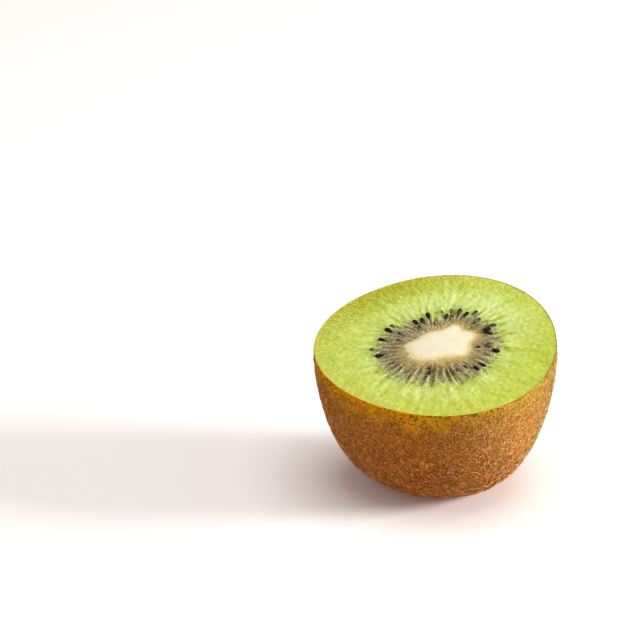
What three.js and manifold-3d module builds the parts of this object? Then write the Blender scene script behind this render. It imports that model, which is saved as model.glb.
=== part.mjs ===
// A halved kiwi fruit standing on its blunt end, cut face up: the flesh with its skin and seeds, and the core.
// Millimetres, +Z up. The fruit's own axis is upright and the cut dips towards -Y.

import * as THREE from 'three';
import { ParametricGeometry } from 'three/addons/geometries/ParametricGeometry.js';
import * as BufferGeometryUtils from 'three/addons/utils/BufferGeometryUtils.js';
import Module from 'manifold-3d';

const wasm = await Module();
wasm.setup();

const degrees = Math.PI / 180;

// The whole fruit.
const equatorRadius = 25.9;
const equatorHeight = 28.8; // above the flat spot
const restDepth = 0.6; // how far above the fruit's very end the flat spot lies
const farLength = 32; // from the equator to the end that was cut away
const endPower = 1.69; // how soon the side turns in below the equator
const endBlunt = 3.35; // over 2 makes the end blunter than an ellipse
const sides = { count: 3, amount: 0.0267, peak: 57.2 * degrees }; // a faintly three-sided section
const squeeze = 0.011; // and a faint flattening across X

// The cut.
const cutHeight = 30.7; // on the fruit's axis
const cutDip = 11.8 * degrees; // down towards -Y
const cutLean = 3.2 * degrees; // down towards -X
const rimRound = 0.3; // the peel's edge is a little rounded

// The scar where the stalk was, in the underside.
const scar = { outer: 6.0, step: 4.9, disc: 4.1, pit: 1.7, groove: 0.75, discDepth: 0.3, pitDepth: 1.1 };

// The core: a round column with lobes where it bulges between the groups of seed cells.
const coreRadius = 4.4;
const coreLobes = [
  { at: 21 * degrees, width: 20 * degrees, height: 3.3 },
  { at: 57 * degrees, width: 15 * degrees, height: 2.9 },
  { at: 180 * degrees, width: 14 * degrees, height: 1.3 },
  { at: 222 * degrees, width: 44 * degrees, height: 2.5 },
  { at: 318 * degrees, width: 10 * degrees, height: 0.4 },
  { at: 330 * degrees, width: 34 * degrees, height: 2.3 },
];
const coreLength = 24; // below the cut
const coreTaper = 0.6;
const coreCrown = 0.15; // the core swells this much above the cut
const gap = 0.3; // between the core and its socket

// The seed cells, which lie like spokes round the core.
const cellCount = 46;
const cellDepth = 0.35;
const cellReach = 13.9; // from the axis to the cells' outer ends, on average
const cellReachFront = 1.9; // they reach this much further on the -Y side
const cellReachSkew = 0.7; // and this much further towards +X+Y and -X-Y

// The seeds that show: angle from +X in degrees, distance from the axis, size against a full seed, width
// against a full seed's share of its length, and how far the seed is turned off its spoke in degrees.
const seeds = [
  [25.4, 12.8, 0.75, 1.3, -10], [22.4, 11.2, 0.78, 1.3, 0], [15, 10.9, 0.92, 1.15, -40],
  [-8.3, 10.8, 0.85, 1.2, -15], [-17.6, 12.4, 0.84, 1.2, -22], [-14.4, 8.5, 0.55, 1.1, -20],
  [-44.5, 12.3, 0.92, 0.7, 0], [-52.5, 12.3, 0.92, 0.8, 0], [-59.9, 10.5, 0.82, 0.7, 0],
  [-70.5, 10.8, 0.6, 0.65, 0], [-101.8, 10.6, 0.75, 0.85, 0], [-104.1, 9.1, 0.5, 1.1, 0],
  [-147.3, 11.9, 0.78, 0.85, 0], [-164.5, 13, 0.92, 1.3, 0], [-174.5, 13.9, 0.7, 1.2, -40],
  [168.9, 12.1, 0.8, 1, -19], [167.7, 8.4, 0.6, 1.1, 0], [151.8, 11.8, 1, 1.1, -19],
  [143.3, 11.9, 0.65, 1, -6], [151.5, 9.1, 0.6, 0.85, -10], [122.1, 7.3, 0.6, 0.8, 0],
  [119.8, 9.3, 0.95, 0.9, 0], [109.6, 9.2, 1, 0.8, 0], [100.3, 10.6, 1, 0.85, 0],
  [95.4, 7.3, 0.5, 0.9, 0], [84.8, 11.7, 0.5, 0.65, 0], [78.5, 10.1, 0.7, 0.95, 0],
  [75.7, 12.3, 0.55, 0.85, 0], [72.2, 9.8, 0.8, 0.85, 0], [67.4, 12.3, 0.9, 0.85, 0],
  [58.8, 11.8, 0.93, 0.8, 0], [52.5, 13.2, 0.82, 0.7, 0], [42.5, 11.5, 0.78, 0.7, 0],
];
const seedLength = 2.25;
const seedWidth = 1.4;
const seedThick = 1.1;
const seedProud = 0.45; // how far a seed stands above the cut
const seedTaper = 0.4; // its inner end is this much narrower

// How finely the surfaces are divided.
const columns = cellCount * 3;
const coreColumns = 72;
const skinRings = 14;
const faceRings = 9;
const wallRings = 4;

const lerp = THREE.MathUtils.lerp;

// The fruit's section at an angle, as a share of the equator's radius.
function outline(angle) {
  const lobes = sides.amount * Math.cos(sides.count * (angle - sides.peak));
  return 1 + lobes - squeeze * Math.cos(2 * angle);
}

// The skin's distance from the axis at an angle and a height above the flat spot.
function skinRadius(angle, height) {
  const above = height - equatorHeight;
  const end = above < 0 ? equatorHeight + restDepth : farLength;
  const share = Math.min(Math.abs(above) / end, 1);
  return equatorRadius * outline(angle) * Math.pow(1 - Math.pow(share, endPower), 1 / endBlunt);
}

function cutAt(x, y) {
  return cutHeight + Math.tan(cutDip) * y + Math.tan(cutLean) * x;
}

// Where the skin meets the cut: the height is found by going round the two formulas until they agree.
function rimRadius(angle) {
  let radius = equatorRadius;
  for (let turn = 0; turn < 12; turn += 1) {
    radius = skinRadius(angle, cutAt(radius * Math.cos(angle), radius * Math.sin(angle)));
  }
  return radius;
}

// The core's distance from the axis in the cut.
function coreEdge(angle) {
  return coreLobes.reduce((radius, lobe) => {
    const turn = Math.atan2(Math.sin(angle - lobe.at), Math.cos(angle - lobe.at));
    return radius + lobe.height * Math.exp(-((turn / lobe.width) ** 2));
  }, coreRadius);
}

// How much of its full width the core has left at a share of its length below the cut.
function coreShare(share) {
  return Math.pow(Math.max(1 - share * share, 0), coreTaper);
}

// How deep a seed cell is sunk below the cut. It is full between two walls and fades at both ends.
function cellSink(angle, radius) {
  const inner = coreEdge(angle) + gap;
  const outer = cellReach - cellReachFront * Math.sin(angle) + cellReachSkew * Math.sin(2 * angle);
  const along = (radius - inner) / (outer - inner);
  if (along <= 0 || along >= 1) return 0;
  return cellDepth * Math.abs(Math.sin(angle * cellCount / 2)) * Math.sin(Math.PI * along);
}

function polar(angle, radius, height, target) {
  return target.set(radius * Math.cos(angle), radius * Math.sin(angle), height);
}

// A ring that lies in the cut, sunk by a given depth.
function onCut(angle, radius, sink, target) {
  const x = radius * Math.cos(angle);
  const y = radius * Math.sin(angle);
  return target.set(x, y, cutAt(x, y) - sink);
}

// Rings from the middle of the scar out to the edge of the flat spot, as distance and height.
function undersideRings() {
  const profile = [
    [0, scar.pitDepth],
    [scar.pit, scar.pitDepth * 0.8],
    [scar.pit * 1.4, scar.discDepth],
    [scar.disc, scar.discDepth],
    [scar.step, scar.groove],
    [scar.outer, 0],
  ];
  return profile.map(([radius, height]) => (angle, target) => polar(angle, radius, height, target));
}

// Rings up the skin. They crowd towards the end, where it turns fastest.
function skinRingsUp() {
  return Array.from({ length: skinRings }, (_, ring) => (angle, target) => {
    const rim = rimRadius(angle);
    const top = cutAt(rim * Math.cos(angle), rim * Math.sin(angle)) - rimRound;
    const height = top * (ring / (skinRings - 1)) ** 1.8;
    return polar(angle, skinRadius(angle, height), height, target);
  });
}

// Rings across the cut, from the rim in to the edge of the core's socket.
function faceRingsIn() {
  return Array.from({ length: faceRings + 1 }, (_, ring) => (angle, target) => {
    const edge = coreEdge(angle) + gap;
    const radius = lerp(rimRadius(angle) - rimRound, edge, (ring / faceRings) ** 0.8);
    return onCut(angle, radius, cellSink(angle, radius), target);
  });
}

// Rings down a core-shaped wall, which grows by a margin all round, to its closed end on the axis.
function coreWallRings(margin, steps) {
  return Array.from({ length: steps }, (_, ring) => (angle, target) => {
    const share = Math.sin((ring + 1) / steps * Math.PI / 2);
    const radius = (coreEdge(angle) + margin) * coreShare(share);
    return onCut(angle, radius, share * (coreLength + margin), target);
  });
}

// Rings over the core's crowned top, from its middle to its edge.
function coreTopRings() {
  return [0, 0.5, 0.85, 1].map((share) => (angle, target) => {
    return onCut(angle, coreEdge(angle) * share, -coreCrown * (1 - share ** 4), target);
  });
}

// A closed surface through a stack of rings, whose first and last rings are points on the axis.
function ringsToGeometry(rings, slices, inward) {
  const last = rings.length - 1;
  const turn = inward ? -2 * Math.PI : 2 * Math.PI;
  return new ParametricGeometry((u, v, target) => rings[Math.round(v * last)](turn * u, target), slices, last);
}

// The same shape with shared vertices and without the triangles that shrink to nothing at the poles.
function weld(geometry) {
  geometry.deleteAttribute('normal');
  geometry.deleteAttribute('uv');
  const welded = BufferGeometryUtils.mergeVertices(geometry, 1e-4);
  const index = welded.getIndex().array;
  const kept = [];
  for (let i = 0; i < index.length; i += 3) {
    const [a, b, c] = index.slice(i, i + 3);
    if (a !== b && b !== c && c !== a) kept.push(a, b, c);
  }
  welded.setIndex(kept);
  return welded;
}

function toSolid(geometry) {
  const welded = weld(geometry);
  const vertProperties = new Float32Array(welded.getAttribute('position').array);
  const triVerts = new Uint32Array(welded.getIndex().array);
  return new wasm.Manifold(new wasm.Mesh({ numProp: 3, vertProperties, triVerts }));
}

function toGeometry(solid) {
  const mesh = solid.getMesh();
  const geometry = new THREE.BufferGeometry();
  geometry.setAttribute('position', new THREE.BufferAttribute(new Float32Array(mesh.vertProperties), 3));
  geometry.setIndex([...mesh.triVerts]);
  geometry.computeVertexNormals();
  return geometry;
}

// One seed lying along X with its narrow end at -X, half sunk in the cut and turned to face the axis.
function seedGeometry(angle, distance, size, width, turn) {
  const geometry = new THREE.SphereGeometry(1, 6, 4);
  geometry.rotateZ(Math.PI / 2);
  const at = geometry.getAttribute('position');
  for (let i = 0; i < at.count; i += 1) {
    const along = at.getX(i);
    const girth = 1 - seedTaper * (1 - along) / 2;
    at.setXYZ(i, along * seedLength / 2, at.getY(i) * girth * seedWidth / 2, at.getZ(i) * girth * seedThick / 2);
  }
  geometry.scale(size, size * width, 1);
  geometry.rotateZ(angle + turn);
  const x = distance * Math.cos(angle);
  const y = distance * Math.sin(angle);
  geometry.translate(x, y, cutAt(x, y) + seedProud - seedThick / 2);
  return geometry;
}

function fleshGeometry() {
  const rings = [
    ...undersideRings(),
    ...skinRingsUp(),
    ...faceRingsIn(),
    ...coreWallRings(gap, wallRings),
  ];
  let solid = toSolid(ringsToGeometry(rings, columns, false));
  seeds.forEach(([angle, distance, size, width, turn]) => {
    const seed = seedGeometry(angle * degrees, distance, size, width, turn * degrees);
    solid = solid.add(toSolid(seed));
  });
  return toGeometry(solid);
}

function coreGeometry() {
  const rings = [...coreTopRings(), ...coreWallRings(0, wallRings + 1)];
  return toGeometry(toSolid(ringsToGeometry(rings, coreColumns, true)));
}

function named(name, geometry, color, roughness) {
  const material = new THREE.MeshStandardMaterial({ color, roughness, metalness: 0 });
  const mesh = new THREE.Mesh(geometry, material);
  mesh.name = name;
  return mesh;
}

const kiwiHalf = new THREE.Group();
kiwiHalf.add(named('flesh', fleshGeometry(), 0xc8d85f, 0.45));
kiwiHalf.add(named('core', coreGeometry(), 0xfaeed4, 0.6));

// The origin is below the middle of the part, where it stands.
const box = new THREE.Box3().setFromObject(kiwiHalf);
const middle = box.getCenter(new THREE.Vector3());
kiwiHalf.position.set(-middle.x, -middle.y, -box.min.z);
kiwiHalf.updateMatrixWorld(true);

export default kiwiHalf;
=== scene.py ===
"""A halved kiwi fruit, dressed on its CAD model: hairy skin, wet green flesh, seed cells, seeds and core.

Shapes are worked out in millimetres round the fruit's own upright axis, as whole arrays, and laid into
the frame's metres at the end. An angle runs from +X towards +Y, and a height starts at the flat spot."""

import math

import bpy
import numpy as np
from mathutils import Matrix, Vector


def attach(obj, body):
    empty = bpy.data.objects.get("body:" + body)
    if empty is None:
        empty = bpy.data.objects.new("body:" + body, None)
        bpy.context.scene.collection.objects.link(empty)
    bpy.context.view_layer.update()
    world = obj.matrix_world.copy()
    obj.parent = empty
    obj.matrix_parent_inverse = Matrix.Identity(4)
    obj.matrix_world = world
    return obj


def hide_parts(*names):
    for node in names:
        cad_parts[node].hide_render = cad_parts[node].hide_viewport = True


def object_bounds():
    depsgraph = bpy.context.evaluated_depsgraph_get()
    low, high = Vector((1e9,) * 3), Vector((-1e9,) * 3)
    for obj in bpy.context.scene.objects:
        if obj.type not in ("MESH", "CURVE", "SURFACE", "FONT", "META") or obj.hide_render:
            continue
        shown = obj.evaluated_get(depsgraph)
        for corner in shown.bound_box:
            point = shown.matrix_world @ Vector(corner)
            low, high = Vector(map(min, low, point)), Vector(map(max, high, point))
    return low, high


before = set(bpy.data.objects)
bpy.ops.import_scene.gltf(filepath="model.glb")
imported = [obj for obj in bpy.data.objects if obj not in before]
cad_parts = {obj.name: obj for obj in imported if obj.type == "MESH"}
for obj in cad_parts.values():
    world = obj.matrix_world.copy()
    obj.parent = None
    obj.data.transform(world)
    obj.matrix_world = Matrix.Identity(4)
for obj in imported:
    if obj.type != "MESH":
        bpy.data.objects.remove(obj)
cad_low, cad_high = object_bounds()

MM = 0.001
TURN = 2 * math.pi

# ---- sizes, mm
EQUATOR_RADIUS = 25.9
EQUATOR_HEIGHT = 28.8
REST_DEPTH = 0.6  # the flat spot lies this far above the fruit's very end
FAR_LENGTH = 32.0  # from the equator to the end that was cut away
END_POWER, END_BLUNT = 1.69, 3.35
SIDES, SIDE_AMOUNT, SIDE_PEAK = 3, 0.0267, math.radians(57.2)
SQUEEZE = 0.011

CUT_HEIGHT = 30.7
CUT_DIP = math.tan(math.radians(11.8))
CUT_LEAN = math.tan(math.radians(3.2))

CORE_RADIUS = 4.4
# Each lobe: where it points, how wide it is (both in degrees) and how far it stands out.
CORE_LOBES = (
    (21, 20, 3.3), (57, 15, 2.9), (180, 14, 1.3), (222, 44, 2.5), (318, 10, 0.4), (330, 34, 2.3),
)
CORE_LENGTH, CORE_TAPER, CORE_CROWN = 24.0, 0.6, 0.15

CELLS = 46
CELL_DEPTH = 0.28
CELL_REACH, CELL_REACH_FRONT, CELL_REACH_SKEW = 13.9, 1.9, 0.7

PEEL = 0.2  # thickness of the skin where it is cut
SCAR_OUTER, SCAR_STEP, SCAR_DISC, SCAR_PIT = 6.0, 4.9, 4.1, 1.7
SCAR_GROOVE, SCAR_DISC_DEPTH, SCAR_PIT_DEPTH = 0.75, 0.3, 1.1
FLAT_OUTER = 9.0  # the flat spot's outer edge

# Each seed on the cut: degrees from +X, distance from the axis, size against a full seed, width against
# a full seed's, degrees it is turned off its spoke, and how thick a film lies over it.
SEEDS = (
    (25.4, 12.8, 0.75, 1.3, -10, 0.28), (22.4, 11.2, 0.78, 1.3, 0, 0), (15, 10.9, 0.92, 1.15, -40, 0.1),
    (-8.3, 10.8, 0.85, 1.2, -15, 0.8), (-17.6, 12.4, 0.84, 1.2, -22, 0), (-14.4, 8.5, 0.55, 1.1, -20, 0.1),
    (-44.5, 12.3, 0.92, 0.7, 0, 0), (-52.5, 12.3, 0.92, 0.8, 0, 0), (-59.9, 10.5, 0.82, 0.7, 0, 0.15),
    (-70.5, 10.8, 0.6, 0.65, 0, 0.4), (-101.8, 10.6, 0.75, 0.85, 0, 0.05), (-104.1, 9.1, 0.5, 1.1, 0, 0.1),
    (-147.3, 11.9, 0.78, 0.85, 0, 0.35), (-164.5, 13, 0.92, 1.3, 0, 0), (-174.5, 13.9, 0.7, 1.2, -40, 0.7),
    (168.9, 12.1, 0.8, 1, -19, 0), (167.7, 8.4, 0.6, 1.1, 0, 0.5), (151.8, 11.8, 1, 1.1, -19, 0),
    (143.3, 11.9, 0.65, 1, -6, 0.3), (151.5, 9.1, 0.6, 0.85, -10, 0.5), (122.1, 7.3, 0.6, 0.8, 0, 0.2),
    (119.8, 9.3, 0.95, 0.9, 0, 0), (109.6, 9.2, 1, 0.8, 0, 0.1), (100.3, 10.6, 1, 0.85, 0, 0),
    (95.4, 7.3, 0.5, 0.9, 0, 0.2), (84.8, 11.7, 0.5, 0.65, 0, 0.5), (78.5, 10.1, 0.7, 0.95, 0, 0.1),
    (75.7, 12.3, 0.55, 0.85, 0, 0.6), (72.2, 9.8, 0.8, 0.85, 0, 0.45), (67.4, 12.3, 0.9, 0.85, 0, 0.2),
    (58.8, 11.8, 0.93, 0.8, 0, 0), (52.5, 13.2, 0.82, 0.7, 0, 0.15), (42.5, 11.5, 0.78, 0.7, 0, 0.5),
)
SEED_LENGTH, SEED_WIDTH, SEED_THICK, SEED_PROUD, SEED_TAPER = 2.25, 1.4, 1.1, 0.45, 0.4
SUNK_SEEDS = 26  # seeds that only show as a stain through the flesh over them

# ---- fineness
COLUMNS = 720
FACE_RINGS = 116
SKIN_RINGS = 96
TIGHT = 0.004  # a ring this share of the way from an edge keeps the edge's shading narrow
AROUND = np.linspace(0, TURN, COLUMNS, endpoint=False)[None, :]


# ---- small helpers
def smooth_step(low, high, value):
    """0 below low, 1 above high, and a smooth S between them."""
    share = np.clip((value - low) / (high - low), 0, 1)
    return share * share * (3 - 2 * share)


def bell(value, middle, width):
    """1 at the middle, falling away as a bell curve."""
    return np.exp(-(((value - middle) / width) ** 2))


def ripples(points, wavelength, seed, waves=26):
    """Smooth unevenness: the sum of sine waves of about one wavelength in seeded directions, scaled
    so that it mostly lies between -1 and 1. points is (..., n)."""
    draw = np.random.default_rng(seed)
    size = points.shape[-1]
    ways = draw.normal(size=(waves, size))
    ways /= np.linalg.norm(ways, axis=1, keepdims=True)
    ways *= TURN / wavelength * draw.uniform(0.7, 1.4, (waves, 1))
    phases = draw.uniform(0, TURN, waves)
    total = np.zeros(points.shape[:-1])
    for way, phase in zip(ways, phases):
        total += np.sin(points @ way + phase)
    return total / math.sqrt(waves)


def sector(angle, middle, width):
    """1 on the spoke at middle, falling away as a bell curve on both sides; both are in degrees."""
    turned = (angle - math.radians(middle) + math.pi) % TURN - math.pi
    return bell(turned, 0, math.radians(width))


def stack_at(angle, radius, height):
    """Points from polar places and heights, as (..., 3)."""
    angle, radius, height = np.broadcast_arrays(angle, radius, height)
    return np.stack([radius * np.cos(angle), radius * np.sin(angle), height], -1)


def in_plane(angle, radius):
    """The x and y of polar places, as (..., 2)."""
    return stack_at(angle, radius, 0)[..., :2]


# ---- the fruit's form
def outline(angle):
    """The section's radius as a share of the equator's: a circle with three faint sides."""
    lobes = SIDE_AMOUNT * np.cos(SIDES * (angle - SIDE_PEAK))
    return 1 + lobes - SQUEEZE * np.cos(2 * angle)


def skin_radius(angle, height):
    """The skin's distance from the axis: the outline times a blunted ellipse of the height."""
    above = height - EQUATOR_HEIGHT
    end = np.where(above < 0, EQUATOR_HEIGHT + REST_DEPTH, FAR_LENGTH)
    share = np.minimum(np.abs(above) / end, 1)
    return EQUATOR_RADIUS * outline(angle) * (1 - share**END_POWER) ** (1 / END_BLUNT)


def cut_at(x, y):
    """The height of the knife's plane above a point."""
    return CUT_HEIGHT + CUT_DIP * y + CUT_LEAN * x


def cut_over(angle, radius):
    """The height of the knife's plane at polar places."""
    return cut_at(radius * np.cos(angle), radius * np.sin(angle))


def rim_radius(angle):
    """Where the skin meets the knife's plane, by going round the two formulas until they agree."""
    radius = np.full_like(angle, EQUATOR_RADIUS)
    for _ in range(12):
        radius = skin_radius(angle, cut_over(angle, radius))
    return radius


def rim_height(angle):
    """The height of the knife's plane where it meets the skin."""
    return cut_over(angle, rim_radius(angle))


def core_edge(angle):
    """The core's distance from the axis in the cut: a circle with a bell-shaped lobe at each corner."""
    radius = np.full_like(angle, CORE_RADIUS)
    for at, width, height in CORE_LOBES:
        radius += height * sector(angle, at, width)
    return radius


def core_wall(angle, deep, inset):
    """The core's wall at a share of its depth: its edge in the cut times a power of 1 - deep²."""
    radius = core_edge(angle) * np.maximum(1 - deep**2, 0) ** CORE_TAPER - inset
    return radius, cut_over(angle, radius) - deep * CORE_LENGTH


def cell_reach(angle):
    """How far out the seed cells go: further on the -Y side, and a little on one diagonal."""
    return CELL_REACH - CELL_REACH_FRONT * np.sin(angle) + CELL_REACH_SKEW * np.sin(2 * angle)


def cell_pattern(angle, radius):
    """Masks of the seed cells at polar places in the cut.

    The angle, pushed about by ripples that change slowly along a spoke, counts the cells. A cell is a
    leaf whose half width follows a sine along its length, and has its own start, reach, width and
    strength. A darker bell-shaped hollow lies in each leaf. Forks split the leaves' outer ends, and
    ripples break them into patches. They reach furthest on the -Y side and fade beyond the cells' usual
    end. A thin broken wall of its own strength stands between two leaves and runs on past them."""
    angle, radius = np.broadcast_arrays(angle, radius)
    draw = np.random.default_rng(5)
    spread = 0.75 - 0.35 * np.sin(np.arange(CELLS) / CELLS * TURN)
    reach_more = -1.2 + 5.0 * draw.uniform(0, 1, CELLS) ** 2 * spread
    start = draw.uniform(0.1, 0.5, CELLS)
    width = draw.uniform(0.5, 1.0, CELLS)
    strength = draw.uniform(0.3, 1.0, CELLS)
    wall_strength = draw.uniform(0.0, 1.0, CELLS)
    forked = draw.uniform(0, 1, CELLS)
    hollow_at = draw.uniform(0.5, 0.95, CELLS)
    hollow_long = draw.uniform(0.8, 1.8, CELLS)
    hollow_wide = draw.uniform(0.28, 0.55, CELLS)
    hollow_deep = draw.uniform(0.25, 1.0, CELLS)

    drawn_out = stack_at(angle, 10, radius * 0.3)
    sway = 0.34 * ripples(drawn_out, 4.0, 6) + 0.13 * ripples(drawn_out, 1.5, 7)
    place = (angle + sway / 10) / TURN * CELLS
    cell = np.floor(place).astype(int) % CELLS
    wall = np.round(place).astype(int) % CELLS
    across = np.abs((place % 1) * 2 - 1)
    inner, reach = core_edge(angle), cell_reach(angle)
    along = (radius - inner) / (reach + reach_more[cell] - inner)
    past_start = np.clip((along - start[cell]) / (1 - start[cell]), 0, 1)
    half = width[cell] * np.sin(math.pi * past_start**0.8) ** 0.6
    leaf = smooth_step(0.0, 0.24, half - across) * strength[cell]
    fork = bell(across, 0, 0.2) * smooth_step(0.55, 0.8, along) * forked[cell]
    patches = stack_at(angle, 12, radius * 0.9)
    leaf *= (1 - 0.8 * fork) * (0.35 + 0.65 * smooth_step(-0.7, 0.4, ripples(patches, 1.8, 9)))

    half_pitch = math.pi * radius / CELLS
    middle = inner + (reach - inner) * hollow_at[cell]
    hollow = bell(radius, middle, hollow_long[cell]) * bell(across * half_pitch, 0, hollow_wide[cell])
    hollow *= hollow_deep[cell] * (0.5 + 0.5 * smooth_step(-0.6, 0.4, ripples(patches, 1.2, 13)))
    line = 1 - smooth_step(0.04, 0.32, (1 - across) * half_pitch)
    wall_along = (radius - inner) / (reach + reach_more[wall] - inner)
    line *= smooth_step(0.25, 0.55, wall_along) * (1 - smooth_step(0.85, 1.1, wall_along))
    line *= smooth_step(-0.9, 0.5, ripples(patches, 2.6, 10)) * (0.7 - 0.3 * np.sin(angle))
    zone = (radius - inner) / (reach - inner)
    leaf *= 1 - 0.5 * smooth_step(0.9, 1.3, zone)
    return {"leaf": leaf, "hollow": hollow, "wall": line * wall_strength[wall], "zone": zone}


def sunk_seeds():
    """Places and sizes of the seeds under the surface: seeded draws between the core and the seeds."""
    draw = np.random.default_rng(8)
    at = draw.uniform(-180, 180, SUNK_SEEDS)
    distance = core_edge(np.radians(at)) + draw.uniform(2.0, 5.2, SUNK_SEEDS)
    return tuple(zip(at, distance, draw.uniform(0.45, 0.8, SUNK_SEEDS)))


def from_seed(flat, at, distance, size, turn):
    """Distances along and across a seed at places in the cut, in units of the seed's size."""
    angle = math.radians(at)
    away = flat - [distance * math.cos(angle), distance * math.sin(angle)]
    way = math.cos(angle + math.radians(turn)), math.sin(angle + math.radians(turn))
    return away @ way / size, away @ (-way[1], way[0]) / size


def seed_marks(angle, radius):
    """Two masks from the distances along and across each seed: a dark bell that trails from the seed
    towards the core, which is a sunk seed's stain through the flesh and painted shade round a seed that
    shows, and a lip round the outer half of a seed that shows."""
    flat = in_plane(angle, radius)
    seed_stain_and_shade, lip = np.zeros(flat.shape[:-1]), np.zeros(flat.shape[:-1])
    for at, distance, size in sunk_seeds():
        along, across = from_seed(flat, at, distance, size, 0)
        # A sunk seed's stain through the flesh.
        seed_stain_and_shade = np.maximum(seed_stain_and_shade, 0.8 * size * bell(along, -0.7, 1.6) * bell(across, 0, 0.75))
    for at, distance, size, width, turn, _ in SEEDS:
        along, across = from_seed(flat, at, distance, size, turn)
        # Painted shade round a seed that shows.
        seed_stain_and_shade = np.maximum(seed_stain_and_shade, 0.9 * bell(along, -0.6, 1.6) * bell(across, 0, 0.85 * width))
        ring = np.hypot(along / SEED_LENGTH, across / SEED_WIDTH / width) * 2
        lip = np.maximum(lip, bell(ring, 1.38, 0.22) * smooth_step(-0.5, 0.6, along))
    return seed_stain_and_shade, lip


def face_relief(angle, radius):
    """How far the cut surface stands above the knife's plane, in mm.

    Slow waves left by the knife, sunk seed cells between raised walls, a lip round each seed, fine
    radial fibres, and wet grains that crowd towards the rim. The core swells a little."""
    angle, radius = np.broadcast_arrays(angle, radius)
    flat = in_plane(angle, radius)
    masks = cell_pattern(angle, radius)
    _, lip = seed_marks(angle, radius)
    edge = core_edge(angle)
    share = (radius - edge) / (rim_radius(angle) - edge)
    rise = 0.05 * ripples(flat, 14, 1)
    rise -= CELL_DEPTH * (0.7 * masks["leaf"] + 0.4 * masks["hollow"]) * smooth_step(0, 0.12, share)
    rise += 0.06 * masks["wall"] + 0.05 * lip
    fibres = ripples(stack_at(angle, 9, radius * 0.12), 0.75, 2)
    rise += 0.03 * fibres * smooth_step(0.02, 0.2, share)
    grains = np.maximum(ripples(flat, 0.7, 3), 0) ** 1.5
    rise += 0.06 * grains * smooth_step(0.45, 0.95, share) * (0.35 + 0.65 * sector(angle, 125, 75))
    rise += 0.018 * ripples(flat, 1.7, 4) * smooth_step(0.1, 0.4, share)
    rise += CORE_CROWN * (1 - np.clip(radius / edge, 0, 1) ** 4)
    return rise


# ---- laying shapes into the frame
def raw_middle():
    """The middle of the fruit's own box, whose place in the frame is the CAD box's middle."""
    height = np.linspace(0.4, 1, 40)[:, None] * rim_height(AROUND)
    radius = skin_radius(AROUND, height)
    x, y = radius * np.cos(AROUND), radius * np.sin(AROUND)
    return (x.min() + x.max()) / 2, (y.min() + y.max()) / 2


RAW_X, RAW_Y = raw_middle()
AXIS_X = (cad_low[0] + cad_high[0]) / 2 / MM - RAW_X
AXIS_Y = (cad_low[1] + cad_high[1]) / 2 / MM - RAW_Y
AXIS = np.array([AXIS_X, AXIS_Y, 0.0])


def put(name, data):
    """A new object in the scene that holds the data."""
    thing = bpy.data.objects.new(name, data)
    bpy.context.scene.collection.objects.link(thing)
    return thing


def new_piece(name, points, faces, material, node=None, values=None):
    """A mesh piece from points in mm round the axis and a list of face arrays, one row a face. It
    stands for a CAD node where one is named, and carries numbers for its material."""
    mesh = bpy.data.meshes.new(name)
    points = (points.reshape(-1, 3) + AXIS) * MM
    corners = np.concatenate([f.reshape(-1) for f in faces]).astype(np.int32)
    sizes = np.concatenate([np.full(len(f), f.shape[1]) for f in faces])
    starts = np.concatenate([[0], np.cumsum(sizes)[:-1]]).astype(np.int32)
    mesh.vertices.add(len(points))
    mesh.vertices.foreach_set("co", points.astype(np.float32).reshape(-1))
    mesh.loops.add(len(corners))
    mesh.loops.foreach_set("vertex_index", corners)
    mesh.polygons.add(len(starts))
    mesh.polygons.foreach_set("loop_start", starts)
    mesh.polygons.foreach_set("use_smooth", np.ones(len(starts), bool))
    for key, numbers in (values or {}).items():
        layer = mesh.attributes.new(key, "FLOAT", "POINT")
        layer.data.foreach_set("value", numbers.astype(np.float32).reshape(-1))
    mesh.update(calc_edges=True)
    mesh.validate()
    mesh.materials.append(material)
    piece = put(name, mesh)
    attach(piece, "root")
    if node:
        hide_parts(node)
    return piece


def closed_stack(points):
    """Points and faces of a stack of rings (rings, columns, 3) whose two ends close to a point: quads
    ring by ring and column by column, and a fan of triangles at each end."""
    rings, columns, _ = points.shape
    ends = np.stack([points[0].mean(0), points[-1].mean(0)])
    column = np.arange(columns)
    after = (column + 1) % columns
    low = np.arange(rings - 1)[:, None] * columns
    quads = np.stack([low + column, low + after, low + columns + after, low + columns + column], -1)
    end, last = np.full(columns, rings * columns), (rings - 1) * columns
    fan_start = np.stack([end, after, column], -1)
    fan_end = np.stack([end + 1, last + column, last + after], -1)
    return np.concatenate([points.reshape(-1, 3), ends]), [quads.reshape(-1, 4), fan_start, fan_end]


def with_ends(values):
    """Ring-by-ring arrays of numbers with the two end points' values added."""
    return {
        key: np.concatenate([numbers.reshape(-1), [numbers[0].mean(), numbers[-1].mean()]])
        for key, numbers in values.items()
    }


# ---- shader helpers
def linear(hex_colour):
    """A colour written as six hex digits, in the shader's linear numbers."""
    parts = [int(hex_colour[i : i + 2], 16) / 255 for i in (0, 2, 4)]
    return [p / 12.92 if p <= 0.04045 else ((p + 0.055) / 1.055) ** 2.4 for p in parts] + [1.0]


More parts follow.
